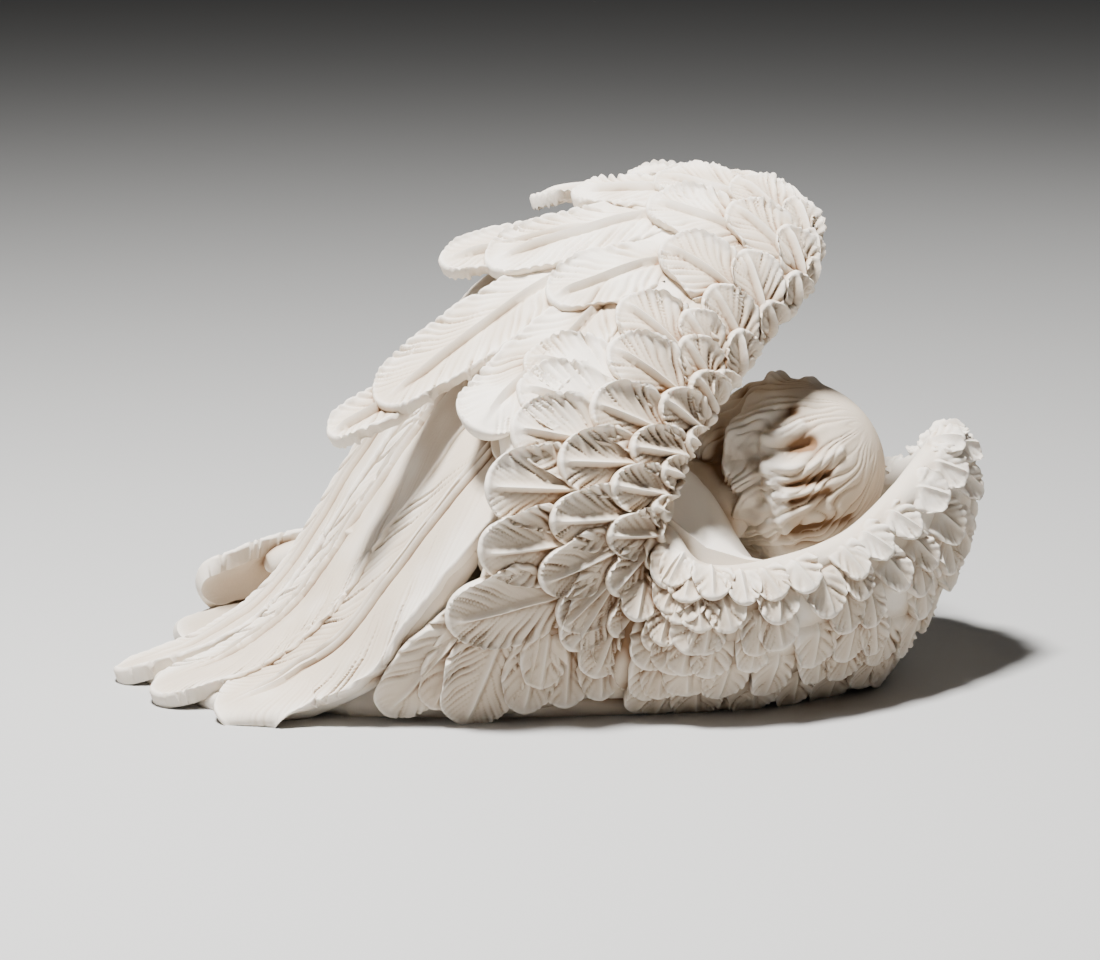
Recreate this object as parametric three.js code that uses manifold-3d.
// A cast figurine of a sleeping angel child, curled up on its front and wrapped in its own wings.
// The raised wing leans over the child from the near side (-Y) and arches over its back. The low
// wing runs from the same shoulder round the head (+X) and along the far side (+Y), as a nest wall.
// Everything was cast in one pour, so the figurine is one closed solid that stands flat on Z = 0.
// Millimetres, +Z up, +X towards the head. The origin is under the middle of the figurine.
import * as THREE from "three";
import { mergeVertices } from "three/addons/utils/BufferGeometryUtils.js";
import Module from "manifold-3d";

const wasm = await Module();
wasm.setup();

// Driving dimensions. The pose is drawn at DRAWN_LENGTH and keeps its proportions at any LENGTH.
const DRAWN_LENGTH = 200;
const LENGTH = 200;
const WING_THICKNESS = 7; // of the raised wing where it arches free
const NEST_THICKNESS = 9; // of the low wing's wall
const FEATHER_DEPTH = 3.2; // how far a feather's body reaches into the wing under it
const LONG_DEPTH = 4; // the same for a long feather
const FEATHER_LIFT = 2.2; // how far a feather's tip stands off the wing
const SHAFT_HEIGHT = 0.7; // the raised quill line down a feather's middle
const BEDDING = 0.6; // how far the wing's own surface lies below the feathers' roots
const LOCK_DEPTH = 1.3; // from the ridge of a lock of hair to the groove beside it

const k = LENGTH / DRAWN_LENGTH;
const v = (x, y, z) => new THREE.Vector3(x, y, z);
const mix = (a, b, f) => a + (b - a) * f;
const radians = THREE.MathUtils.degToRad;

// Rails of a wing: at each station along it, three points across it. On the raised wing they are
// the leading edge, the middle and the outer tips, from its root on the base up over the top.
const RAISED_WING = [
  [[28, -34, 10], [6, -39, 5], [-21, -40, 1]],
  [[24, -43, 28], [4, -49, 27], [-20, -50, 25]],
  [[28, -42, 49], [9, -50, 51], [-13, -53, 51]],
  [[36, -32, 63], [15, -40, 72], [-17, -46, 66]],
  [[48, -18, 78], [24, -24, 87], [-28, -30, 70]],
  [[61, -2, 91], [35, -6, 102], [-25, 2, 92]],
  [[62, 14, 100], [44, 14, 111], [-7, 18, 104]],
  [[56, 32, 100], [37, 34, 110], [14, 34, 108]],
];
// The long feathers' sheet: the line along its far top edge, its middle and its near bottom edge,
// from under the coverts down to the tips on the base.
const LONG_SHEET = [
  [[13, 0, 100], [14, -20, 90], [6, -36, 71]],
  [[-9, 0, 89], [-4, -27, 76], [-4, -46, 57]],
  [[-25, 2, 71], [-18, -30, 60], [-15, -52, 39]],
  [[-41, 6, 48], [-32, -28, 40], [-26, -52, 24]],
  [[-58, 4, 22], [-46, -28, 20], [-36, -48, 11]],
  [[-75, -2, 9], [-61, -28, 9], [-48, -44, 6]],
  [[-99, -8, 1], [-83, -30, 2], [-66, -42, 2]],
];
// The low wing: rim, belly and foot of the nest wall, from its tips at the far left, along the far
// side, round the head and back to the root.
const LOW_WING = [
  [[-78, 32, 13], [-82, 33, 7], [-84, 24, 0]],
  [[-60, 38, 20], [-65, 45, 11], [-63, 38, 0]],
  [[-38, 44, 25], [-42, 53, 13], [-38, 45, 0]],
  [[-5, 49, 27], [-5, 59, 15], [-5, 50, 0]],
  [[28, 50, 30], [30, 60, 17], [26, 49, 0]],
  [[56, 46, 35], [61, 56, 22], [50, 44, 0]],
  [[80, 32, 44], [89, 39, 29], [69, 32, 0]],
  [[91, 7, 58], [99, 11, 38], [78, 12, -1]],
  [[81, -13, 51], [92, -8, 29], [72, -12, -1]],
  [[68, -29, 42], [75, -28, 22], [63, -18, 0]],
  [[51, -41, 38], [54, -43, 21], [49, -26, 0]],
  [[34, -46, 34], [35, -48, 20], [35, -31, 1]],
  [[25, -44, 31], [25, -46, 20], [22, -34, 2]],
];

// A point on a wing: a smooth curve through the stations (s), a parabola across the rails (t).
function wingPoint(rails, s, t) {
  const spans = rails.length - 1;
  const i = Math.min(Math.max(Math.floor(s * spans), 0), spans - 1);
  const f = s * spans - i;
  const across = [2 * t * t - 3 * t + 1, 4 * t - 4 * t * t, 2 * t * t - t];
  const p = [0, 1, 2].map((axis) => {
    const at = (n) => across.reduce((sum, w, rail) => sum + w * rails[n][rail][axis], 0);
    const b = at(i);
    const c = at(i + 1);
    const a = i > 0 ? at(i - 1) : 2 * b - c;
    const d = i < spans - 1 ? at(i + 2) : 2 * c - b;
    const cubic = (3 * b - a - 3 * c + d) * f ** 3;
    return 0.5 * (2 * b + (c - a) * f + (2 * a - 5 * b + 4 * c - d) * f * f + cubic);
  });
  return v(...p).multiplyScalar(k);
}

// A point with its two tangents and the normal that points out of the figurine.
function wingFrame(rails, s, t) {
  const e = 1e-3;
  const ds = wingPoint(rails, s + e, t).sub(wingPoint(rails, s - e, t)).divideScalar(2 * e);
  const dt = wingPoint(rails, s, t + e).sub(wingPoint(rails, s, t - e)).divideScalar(2 * e);
  return { p: wingPoint(rails, s, t), ds, dt, n: ds.clone().cross(dt).normalize() };
}

// Walks over a wing from (s, t) for a distance, keeping its heading, and returns each step's frame.
function walk(rails, s, t, heading, distance, steps) {
  const frames = [];
  const back = heading.clone();
  for (let i = 0; i <= steps; i++) {
    const f = wingFrame(rails, s, t);
    back.addScaledVector(f.n, -back.dot(f.n)).normalize();
    frames.push({ p: f.p, n: f.n, back: back.clone() });
    const ss = f.ds.dot(f.ds);
    const st = f.ds.dot(f.dt);
    const tt = f.dt.dot(f.dt);
    const towardS = (back.dot(f.ds) * distance) / steps;
    const towardT = (back.dot(f.dt) * distance) / steps;
    const area = ss * tt - st * st;
    s += (towardS * tt - towardT * st) / area;
    t += (towardT * ss - towardS * st) / area;
  }
  return frames;
}

// A closed mesh as a solid, with its shared corners merged.
function solidOf(geometry) {
  geometry.deleteAttribute("normal");
  geometry.deleteAttribute("uv");
  const merged = mergeVertices(geometry, 1e-3);
  return new wasm.Manifold(
    new wasm.Mesh({
      numProp: 3,
      vertProperties: merged.attributes.position.array,
      triVerts: new Uint32Array(merged.index.array),
    }),
  );
}

// A solid through closed rings of points. Each ring runs clockwise as seen along the loft.
function loft(rings) {
  const size = rings[0].length;
  const at = (r, c) => r * size + (c % size);
  const faces = [];
  for (let r = 0; r < rings.length - 1; r++)
    for (let c = 0; c < size; c++) {
      faces.push(at(r, c), at(r, c + 1), at(r + 1, c + 1));
      faces.push(at(r, c), at(r + 1, c + 1), at(r + 1, c));
    }
  const last = rings.length - 1;
  for (let a = 0, b = size - 1; a + 1 < b; a++, b--) {
    faces.push(at(0, a), at(0, b), at(0, a + 1), at(last, a), at(last, a + 1), at(last, b));
    if (a + 1 === b - 1) continue;
    faces.push(at(0, a + 1), at(0, b), at(0, b - 1));
    faces.push(at(last, a + 1), at(last, b - 1), at(last, b));
  }
  return solidOf(new THREE.BufferGeometry().setFromPoints(rings.flat()).setIndex(faces));
}

// A wing's body under its feathers: an even wall that follows the rails.
function wingWall(rails, rows, cols, thickness, [s0, s1], [t0, t1]) {
  const line = (s, depth) =>
    Array.from({ length: cols + 1 }, (_, c) => {
      const f = wingFrame(rails, s, mix(t0, t1, c / cols));
      return f.p.addScaledVector(f.n, -depth);
    });
  const ring = (s) => [...line(s, BEDDING + thickness), ...line(s, BEDDING).reverse()];
  return loft(Array.from({ length: rows + 1 }, (_, r) => ring(mix(s0, s1, r / rows))));
}

// Outlines of feathers: [how far from root to tip, half width there as a share of the widest].
const SMALL = [[0, 0.75], [0.6, 1], [1, 0.5]];
const BROAD = [[0, 0.62], [0.52, 1], [0.86, 0.86], [1, 0.32]];
const LONG = [[0, 0.6], [0.2, 0.85], [0.4, 1], [0.6, 1], [0.78, 0.95], [0.92, 0.7], [1, 0.22]];

// One feather on the frames of its outline's stations. Its tip is lifted, its shaft is a ridge, and
// tilt raises the edge that lies over the neighbour. A small one's body narrows to a keel.
function vane(outline, frames, { width, lift = FEATHER_LIFT, tilt = 0.5, depth = FEATHER_DEPTH }) {
  const keel = outline === SMALL;
  const rings = outline.map(([along, half], i) => {
    const { p, n, back } = frames[i];
    const side = n.clone().cross(back).normalize();
    const x = (half * width) / 2;
    const rise = lift * along ** 1.4 * (along === 1 ? 0.7 : 1);
    const at = (w, h) => p.clone().addScaledVector(side, w).addScaledVector(n, h);
    const top = [at(-x, rise - tilt), at(0, rise + SHAFT_HEIGHT), at(x, rise + tilt)];
    return [...top, ...(keel ? [at(0, -depth)] : [at(0.86 * x, -depth), at(-0.86 * x, -depth)])];
  });
  return loft(rings);
}

// A short feather with its tip at (s, t). turn is degrees from the wing's flow, towards lower s.
function covert(rails, { s, t, turn, length, width, lift, tilt, outline = BROAD }) {
  const tip = wingFrame(rails, s, t);
  const flow = tip.dt.clone().normalize();
  const aside = tip.n.clone().cross(flow);
  const heading = flow
    .multiplyScalar(Math.cos(radians(turn)))
    .addScaledVector(aside, Math.sin(radians(turn)));
  const steps = 50;
  const frames = walk(rails, s, t, heading.negate(), length * k, steps);
  const stations = outline.map(([along]) => frames[Math.round((1 - along) * steps)]);
  return vane(outline, stations, { width: width * k, lift, tilt });
}

// A long feather along a wing. across and reach are where its shaft and its ends lie on the sheet.
function longFeather(rails, { across, reach, width, tilt, lift }) {
  const sense = Math.sign(reach[0] - reach[1]);
  const frames = LONG.map(([along]) => {
    const f = wingFrame(rails, mix(...reach, along), mix(...across, along));
    return { ...f, back: f.ds.normalize().multiplyScalar(sense) };
  });
  return vane(LONG, frames, { width: width * k, tilt, lift, depth: LONG_DEPTH });
}

// The same unrepeating number from -1 to 1 each time for each seed.
function scatter(seed) {
  const x = Math.sin(seed * 12.9898) * 43758.5453;
  return 2 * (x - Math.floor(x)) - 1;
}

// How far the feathers turn from the wing's flow: degrees at even stations along the wing, at its
// near rail and at its far rail.
function turnAt(turns, s, t) {
  const x = Math.min(Math.max(s, 0), 0.9999) * (turns.near.length - 1);
  const i = Math.floor(x);
  const along = (list) => mix(list[i], list[i + 1], x - i);
  return mix(along(turns.near), along(turns.far), t);
}

// A row of feathers side by side along a wing, a little uneven, as a hand carves them.
function row(rails, turns, { seed, count, tips, length, width, from, to, ...rest }) {
  return Array.from({ length: count }, (_, i) => {
    const f = (i + 0.5) / count;
    const uneven = (n) => scatter(seed * 100 + 10 * i + n);
    const s = mix(from, to, f) + (0.12 * uneven(1) * (to - from)) / count;
    const t = mix(tips[0], tips[1], f) + 0.025 * uneven(2);
    return covert(rails, {
      s,
      t,
      turn: turnAt(turns, s, t) + 7 * uneven(3),
      length: mix(length[0], length[1], f),
      width: mix(width[0], width[1], f) * (1 + 0.08 * uneven(4)),
      ...rest,
    });
  });
}

// The raised wing's rows, from the outer coverts in to the small ones on the leading edge.
const RAISED_TURNS = {
  near: [85, 75, -10, -50, -60, -65, -70],
  far: [50, 30, 5, 8, 15, 15, 10],
};
const RAISED_ROWS = [
  { seed: 1, count: 4, from: 0.1, to: 0.45, tips: [0.97, 0.86], length: [20, 22], width: [17, 15] },
  { seed: 3, count: 4, from: 0.7, to: 1.02, tips: [0.66, 0.62], length: [20, 19], width: [15, 15] },
];
const RAISED_SMALL_ROWS = [
  { seed: 2, count: 6, from: 0.1, to: 0.66, tips: [0.63, 0.58], length: [17, 18], width: [15, 15] },
  { seed: 4, count: 11, from: 0.02, to: 1.02, tips: [0.36, 0.34], length: [12, 14], width: [11, 12] },
  { seed: 5, count: 12, from: 0.04, to: 1, tips: [0.14, 0.14], length: [9, 9], width: [9, 10], lift: 1.7 },
];
// The big outer coverts make the wing's stepped outline, so each has its own place.
const GREAT_COVERTS = [
  { s: 0.02, t: 1.0, turn: 48, length: 26, width: 18 },
  { s: 0.43, t: 0.98, turn: 25, length: 26, width: 17, lift: 1.6 },
  { s: 0.57, t: 1.03, turn: 22, length: 40, width: 18 },
  { s: 0.73, t: 1.0, turn: 2, length: 34, width: 10, lift: 1.4 },
  { s: 0.95, t: 1.13, turn: 5, length: 32, width: 12, lift: 1.4 },
  { s: 0.6, t: 0.74, turn: 14, length: 26, width: 16 },
  { s: 0.7, t: 0.86, turn: 14, length: 30, width: 16 },
  { s: 0.92, t: 0.95, turn: 0, length: 30, width: 17 },
];
// Two last coverts lie low against the base, past the near edge of the long feathers.
const ROOT_COVERTS = [
  { s: 0.05, t: 1.36, turn: 40, length: 34, width: 15, lift: 0 },
  { s: -0.02, t: 0.6, turn: 60, length: 20, width: 14, lift: 0 },
];
function raisedWing() {
  return [
    wingWall(RAISED_WING, 8, 3, WING_THICKNESS * k, [0.06, 1.02], [0, 0.9]),
    ...[...GREAT_COVERTS, ...ROOT_COVERTS].map((f) => covert(RAISED_WING, f)),
    ...RAISED_ROWS.flatMap((r) => row(RAISED_WING, RAISED_TURNS, r)),
    ...RAISED_SMALL_ROWS.flatMap((r) => row(RAISED_WING, RAISED_TURNS, { ...r, outline: SMALL })),
  ];
}

const LONG_FEATHERS = [
  { across: [0.84, 0.8], reach: [0.08, 1.0], width: 19, tilt: -0.6, lift: 1.6 },
  { across: [0.48, 0.56], reach: [0.08, 0.98], width: 21, tilt: -1.4, lift: 1.4 },
  { across: [0.15, 0.12], reach: [0.08, 1.0], width: 18, tilt: -1.4, lift: 1.4 },
  { across: [-0.06, -0.16], reach: [0.15, 0.5], width: 13, tilt: -0.6, lift: 1 },
];
function longFeathers() {
  return [
    wingWall(LONG_SHEET, 7, 3, WING_THICKNESS * k, [0.1, 0.95], [0.02, 0.94]),
    ...LONG_FEATHERS.map((f) => longFeather(LONG_SHEET, f)),
  ];
}

// The low wing's feathers hang from the rim on the near side and sweep along the far side.
const LOW_TURNS = {
  near: [82, 82, 78, 72, 65, 50, 35, 15, 0, -14],
  far: [84, 84, 80, 72, 62, 42, 25, 10, 0, -18],
};
const LOW_ROWS = [
  { seed: 11, count: 6, from: 0.6, to: 1, tips: [0.97, 1.0], length: [14, 14], width: [16, 15] },
  { seed: 12, count: 9, from: 0.5, to: 1, tips: [0.75, 0.76], length: [13, 13], width: [14, 13] },
  { seed: 13, count: 10, from: 0.47, to: 1, tips: [0.52, 0.54], length: [12, 12], width: [13, 12] },
  { seed: 14, count: 11, from: 0.44, to: 1.01, tips: [0.29, 0.3], length: [10, 11], width: [11, 11] },
];
// Along the far side the low wing's own long feathers lie in tiers, with their tips at the far left.
const FAR_FEATHERS = [
  { across: [0.95, 0.85], reach: [0.6, 0.0], width: 15 },
  { across: [0.62, 0.6], reach: [0.6, 0.14], width: 14 },
  { across: [0.3, 0.36], reach: [0.6, 0.03], width: 17 },
].map((f) => ({ ...f, tilt: -0.8, lift: 1.6 }));
function lowWing() {
  return [
    wingWall(LOW_WING, 13, 3, NEST_THICKNESS * k, [0.1, 1], [0, 1]),
    ...LOW_ROWS.flatMap((r) => row(LOW_WING, LOW_TURNS, { ...r, outline: SMALL })),
    ...FAR_FEATHERS.map((f) => longFeather(LOW_WING, f)),
  ];
}

// A rounded mass of the child's body: an ellipsoid by centre, half sizes and turns in degrees.
function mass(centre, half, turn = [0, 0, 0], sides = 12) {
  const m = new THREE.Matrix4().compose(
    v(...centre).multiplyScalar(k),
    new THREE.Quaternion().setFromEuler(new THREE.Euler(...turn.map(radians))),
    v(...half).multiplyScalar(k),
  );
  return solidOf(new THREE.SphereGeometry(1, sides, Math.round(sides * 0.5)).applyMatrix4(m));
}

// A limb between two joints, round and tapered.
function limb(from, to, r0, r1, sides = 7) {
  const a = v(...from);
  const b = v(...to);
  const length = a.distanceTo(b);
  const profile = [
    [0, -0.7 * r0], [0.75 * r0, -0.55 * r0], [r0, 0],
    [r1, length], [0.75 * r1, length + 0.55 * r1], [0, length + 0.7 * r1],
  ].map(([x, y]) => new THREE.Vector2(x, y));
  const turn = new THREE.Quaternion().setFromUnitVectors(v(0, 1, 0), b.clone().sub(a).normalize());
  const m = new THREE.Matrix4().compose(a.multiplyScalar(k), turn, v(k, k, k));
  return solidOf(new THREE.LatheGeometry(profile, sides).applyMatrix4(m));
}

// The head lies on its side with the crown towards +X and the face to the far side. Its locks of
// hair part at the crown and run back to the nape, as ridges with grooves between them.
const HEAD = { centre: [57, 3, 48], half: [22, 19.5, 20.5], locks: 12, rings: 8, twist: 12 };
function head() {
  const { centre, half, locks, rings, twist } = HEAD;
  const count = 2 * locks;
  const middle = v(...centre).multiplyScalar(k);
  const ring = (i) => {
    const down = Math.PI * mix(0.06, 0.94, i / (rings - 1));
    return Array.from({ length: count }, (_, j) => {
      const round = radians(twist) * Math.sin(down) - (2 * Math.PI * j) / count;
      const toFace = Math.cos(round) * Math.sin(down);
      const upward = Math.sin(round) * Math.sin(down);
      const ridge = (j % 2 ? 0.5 : -0.5) * LOCK_DEPTH * Math.sin(down);
      const way = v(Math.cos(down), toFace, upward);
      const p = middle.clone().add(way.clone().multiply(v(...half)).multiplyScalar(k));
      return p.addScaledVector(way, toFace > 0.62 ? -LOCK_DEPTH : ridge);
    });
  };
  return loft(Array.from({ length: rings }, (_, i) => ring(i)));
}

// The sleeping face: forehead and cheeks as one mass, with a nose, closed lips and a chin.
function face() {
  return [
    mass([54, 14, 48], [15, 11, 14]),
    limb([59, 23.5, 49], [52, 25.5, 48.5], 1.3, 2, 6),
    mass([47, 23.5, 48], [1.4, 1.4, 3.4], [0, 0, 0], 7),
    mass([43.5, 21, 47.5], [3.4, 3, 4.4], [0, 0, 0], 8),
  ];
}

// The child lies on its front with its head on its hands and its legs drawn up under a cloth.
function child() {
  return [
    head(),
    ...face(),
    limb([44, -3, 44], [28, -10, 37], 11, 12),
    mass([32, -20, 34], [17, 18, 15]),
    mass([6, -6, 31], [36, 21, 18]),
    mass([-26, 0, 29], [20, 22, 19]),
    limb([-22, 14, 28], [14, 30, 24], 13, 10),
    limb([14, 30, 20], [-26, 36, 18], 8.5, 6),
    limb([-30, 36, 18], [-40, 33, 15], 5.5, 5),
    limb([28, 12, 36], [34, 34, 24], 8, 6.5),
    limb([34, 34, 24], [58, 26, 28], 6.5, 5),
  ];
}

// The base that fills the nest: a low mound on a flat foot that runs along the low wing's foot
// and then along the near side, under the raised wing and inside the long feathers.
const NEAR_FOOT = [[0, -37], [-22, -37], [-42, -36], [-56, -28], [-64, -10], [-66, 12]];
const MOUND = [[-3, 1], [4, 1], [11, 0.9], [18, 0.66]]; // height, and its outline's share of the foot
function mound() {
  const foot = [...LOW_WING.slice(1).map((rails) => rails[2]), ...NEAR_FOOT].reverse();
  return loft(MOUND.map(([z, share]) => foot.map(([x, y]) => v(x * share, y * share, z).multiplyScalar(k))));
}

// Everything below the base's underside is cut away, so that the figurine stands flat.
function belowBase() {
  const size = 2 * LENGTH;
  const block = new THREE.BoxGeometry(size, size, size);
  return solidOf(block.translate(0, 0, -size / 2));
}

function meshOf(name, body, material) {
  const m = body.getMesh();
  const g = new THREE.BufferGeometry();
  const xyz = new Float32Array(m.numVert * 3);
  for (let i = 0; i < m.numVert; i++)
    xyz.set(m.vertProperties.subarray(i * m.numProp, i * m.numProp + 3), i * 3);
  g.setAttribute("position", new THREE.BufferAttribute(xyz, 3));
  g.setIndex(new THREE.BufferAttribute(m.triVerts, 1));
  g.computeVertexNormals();
  const mesh = new THREE.Mesh(g, material);
  mesh.name = name;
  return mesh;
}

const plaster = new THREE.MeshStandardMaterial({ color: 0xe9e1d3, roughness: 0.75, metalness: 0 });
const pieces = [mound(), ...raisedWing(), ...longFeathers(), ...lowWing(), ...child()];
// A gap that the pieces close off inside is plaster too, so only the outer shell is kept.
const shells = wasm.Manifold.union(pieces).subtract(belowBase()).decompose();
const figurine = shells.reduce((a, b) => (a.volume() > b.volume() ? a : b));

const angel = new THREE.Group();
angel.add(meshOf("angel_figurine", figurine, plaster));
export default angel;
